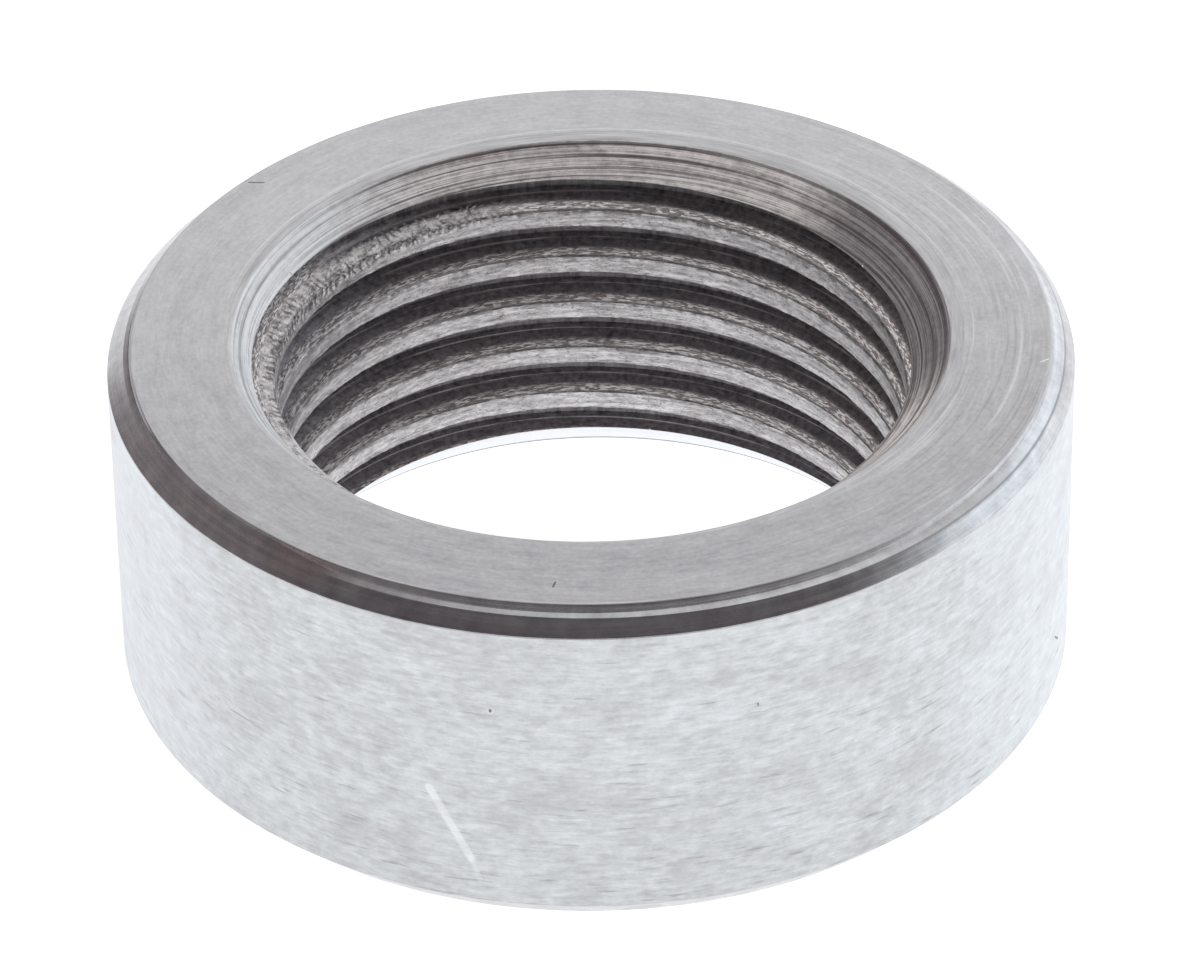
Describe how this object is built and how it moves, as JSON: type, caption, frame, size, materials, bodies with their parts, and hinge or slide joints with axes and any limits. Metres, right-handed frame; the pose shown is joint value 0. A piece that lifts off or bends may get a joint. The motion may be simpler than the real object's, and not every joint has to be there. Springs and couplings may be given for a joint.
{
  "type": "oxygen sensor bung",
  "caption": "Short steel ring with an internal sensor thread, countersunk mouths and chamfered ends, for welding to an exhaust pipe.",
  "frame": {"origin": "centre of the lower end face, on the thread's axis", "axes": "+Z along the thread axis, out of the sensor's side; the ring is round, so X and Y are free"},
  "size_m": [0.0254, 0.0254, 0.0099],
  "materials": {
    "turned_steel": "bright turned steel, brushed round the outside"
  },
  "bodies": {
    "root": {"bung_body": "turned_steel"}
  },
  "joints": []
}
